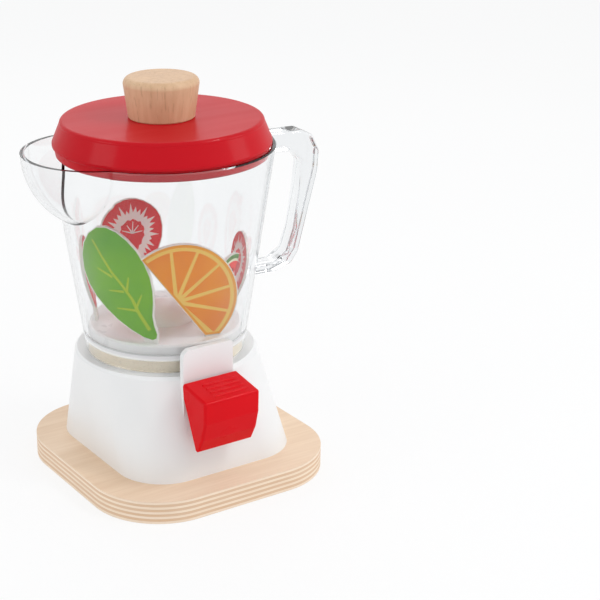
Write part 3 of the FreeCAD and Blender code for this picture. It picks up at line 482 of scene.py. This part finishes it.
BERRY_HALF = [(3, 8), (7, 13), (12.5, 20), (17.3, 27.5), (20.4, 34.5), (21.4, 41.5), (20.5, 48),
              (18.2, 52.4), (14.6, 56.2), (9.6, 59.4), (4.4, 61.4)]
BERRY = BERRY_HALF + [(0, 61.8)] + [(-x, z) for x, z in BERRY_HALF[::-1]]
BERRY_CORE = Vector((0, 40))


def along(points, share):
    """The spot at a share of the way round a closed outline."""
    spots = [Vector(p) for p in points + points[:1]]
    steps = [(b - a).length for a, b in zip(spots, spots[1:])]
    left = share * sum(steps)
    for spot, after, step in zip(spots, spots[1:], steps):
        if left <= step:
            return spot.lerp(after, left / step)
        left -= step
    return spots[-1]


def from_core(share, reach):
    """A spot between the berry's core and the spot at a share of the way round it."""
    return tuple(BERRY_CORE.lerp(along(BERRY, share), reach))


def berry(scale):
    """Slice of a strawberry: red skin, pale rays of uneven length and a red heart."""
    ray_count, heart_count, stroke_count = 64, 32, 5
    rays = []
    for i in range(ray_count):
        tip, notch = 0.78 + 0.11 * math.sin(i * 1.9), 0.58 + 0.03 * math.sin(i * 0.8)
        rays.append(from_core(i / ray_count, tip if i % 2 else notch))
    heart = [from_core(i / heart_count, 0.39 + 0.025 * math.sin(i * 2.4))
             for i in range(heart_count)]
    layers = [(BERRY, 0, "plate"), (inset(BERRY, 0.6), 0.10, "berry"), (rays, 0.14, "flesh"),
              (heart, 0.18, "berry")]
    for i in range(stroke_count):
        tip = from_core(0.30 + i * 0.1, 0.33 - 0.04 * (i % 2))
        layers.append((strip(tuple(BERRY_CORE), tip, 1.0, 0.4), 0.21, "flesh"))
    scaled = [([(x * scale, z * scale) for x, z in points], proud, ink)
              for points, proud, ink in layers]
    return [foot(0, 17)] + scaled


# Each print's azimuth in degrees, distance from the axis in millimetres, lean in degrees and
# layers.
PRINTS = {
    "print_leaf": (-148.6, 39, 8, leaf()), "print_orange": (-102.6, 37.2, 6, orange()),
    "print_melon": (-58, 36.5, 8, melon()), "print_berry_a": (-21, 41, 9, berry(0.82)),
    "print_berry_b": (85, 40, 9, berry(1)), "print_berry_c": (150, 41, 9, berry(0.85)),
}
for name, (azimuth, away, lean, layers) in PRINTS.items():
    inks = ["plate"] + sorted({ink for _, _, ink in layers} - {"plate"})
    bm = bmesh.new()
    for points, proud, ink in layers:
        prism(bm, points, proud, inks.index(ink))
    bmesh.ops.recalc_face_normals(bm, faces=bm.faces)
    mesh = bpy.data.meshes.new(name + "_look")
    bm.to_mesh(mesh)
    bm.free()
    for ink in inks:
        mesh.materials.append(PLATE if ink == "plate" else INK[ink])
    piece = bpy.data.objects.new(name + "_look", mesh)
    bpy.context.scene.collection.objects.link(piece)
    turn = math.radians(azimuth)
    stand = Vector((away * math.cos(turn), away * math.sin(turn), ROTOR_TOP)) * MM
    piece.matrix_world = (Matrix.Translation(stand) @ Matrix.Rotation(turn + math.pi / 2, 4, "Z")
                          @ Matrix.Rotation(math.radians(lean), 4, "X"))
    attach(piece, "rotor")
    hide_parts(name)


# Return spring: a copy of the part's mesh that rides the base, shown in place of the part.

coil = bpy.data.objects.new("return_spring_look", NODES["return_spring"].data.copy())
coil.matrix_world = NODES["return_spring"].matrix_world
bpy.context.scene.collection.objects.link(coil)
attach(coil, "base")
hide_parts("return_spring")
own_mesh(coil)


# Stage: a pale floor that keeps the shadow, and a white world

FLOOR_SIZE, FLOOR_DROP = 12, 0.0002
FLOOR_GLOW = 0.8
SKY_TINT, SKY_LEVEL = (0.96, 0.98, 1.0, 1), 0.78
WHITE_TINT, WHITE_LEVEL = (1, 1, 1, 1), 1.0


def floor_pale():
    s = Shader("floor_pale", 0.9)
    s.colour(s.tones(s.noise(s.place(), scale=3, detail=2), (0.90, 0.90, 0.90), (0.92, 0.92, 0.92)))
    glow = s.add("ShaderNodeEmission")
    share = s.math("MULTIPLY", s.background_ray(), FLOOR_GLOW)
    s.link(s.mix_shaders(share, s.main.outputs[0], glow.outputs[0]), s.end.inputs["Surface"])
    return s.mat


bpy.ops.mesh.primitive_plane_add(size=FLOOR_SIZE, location=(0, 0, -FLOOR_DROP))
floor = bpy.context.object
floor.name = "floor"
floor.data.materials.append(floor_pale())

world = bpy.data.worlds.new("studio")
bpy.context.scene.world = world
world.use_nodes = True
world.node_tree.nodes.clear()
sky = Nodes(world.node_tree)
lights = []
for tint, level in ((SKY_TINT, SKY_LEVEL), (WHITE_TINT, WHITE_LEVEL)):
    node = sky.add("ShaderNodeBackground")
    node.inputs["Color"].default_value = tint
    node.inputs["Strength"].default_value = level
    lights.append(node.outputs[0])
sky.link(sky.mix_shaders(sky.background_ray(), lights[0], lights[1]),
         sky.add("ShaderNodeOutputWorld").inputs[0])

# Lamps aim at the middle of the toy. Each has its place, its size in metres and its watts.
LAMP_AIM = Vector((0, 0, 0.11))
LAMPS = {
    "key": ((0.55, -0.66, 0.93), 0.28, 3.0),
    "side": ((-0.95, 0.10, 0.50), 0.45, 1.5),
    "right": ((0.90, -0.58, 0.48), 0.40, 1.2),
    "back": ((0.35, 0.85, 0.80), 0.60, 1.2),
}
for name, (spot, size, power) in LAMPS.items():
    data = bpy.data.lights.new(name, "AREA")
    data.size = size
    data.energy = power
    lamp = bpy.data.objects.new(name, data)
    lamp.location = spot
    lamp.rotation_euler = (LAMP_AIM - Vector(spot)).to_track_quat("-Z", "Y").to_euler()
    bpy.context.scene.collection.objects.link(lamp)


# Camera, from a fit of the board, housing, jug and lid outlines. FOCAL, CENTRE_X and CENTRE_Y
# are in pixels of a picture FRAME wide.

AZIMUTH, ELEVATION, ROLL = math.radians(-30.621), math.radians(20.947), math.radians(-0.944)
DISTANCE, AIM_HEIGHT = 0.937755, 0.101987
FOCAL, CENTRE_X, CENTRE_Y, FRAME = 1560.159, 164.691, 300.93, 600.0
SENSOR = 36

back = Vector((math.sin(AZIMUTH) * math.cos(ELEVATION), -math.cos(AZIMUTH) * math.cos(ELEVATION),
               math.sin(ELEVATION)))
level_right = Vector((math.cos(AZIMUTH), math.sin(AZIMUTH), 0))
level_up = back.cross(level_right)
right = level_right * math.cos(ROLL) + level_up * math.sin(ROLL)
up = level_up * math.cos(ROLL) - level_right * math.sin(ROLL)
spot = Vector((0, 0, AIM_HEIGHT)) + back * DISTANCE

view = bpy.data.cameras.new("view")
view.sensor_width = SENSOR
view.lens = FOCAL / FRAME * SENSOR
view.shift_x = (FRAME / 2 - CENTRE_X) / FRAME
view.shift_y = (CENTRE_Y - FRAME / 2) / FRAME
view.clip_start = 0.02
camera = bpy.data.objects.new("view", view)
bpy.context.scene.collection.objects.link(camera)
camera.matrix_world = Matrix(((right.x, up.x, back.x, spot.x), (right.y, up.y, back.y, spot.y),
                              (right.z, up.z, back.z, spot.z), (0, 0, 0, 1)))
bpy.context.scene.camera = camera
bpy.context.scene.view_settings.view_transform = "Standard"
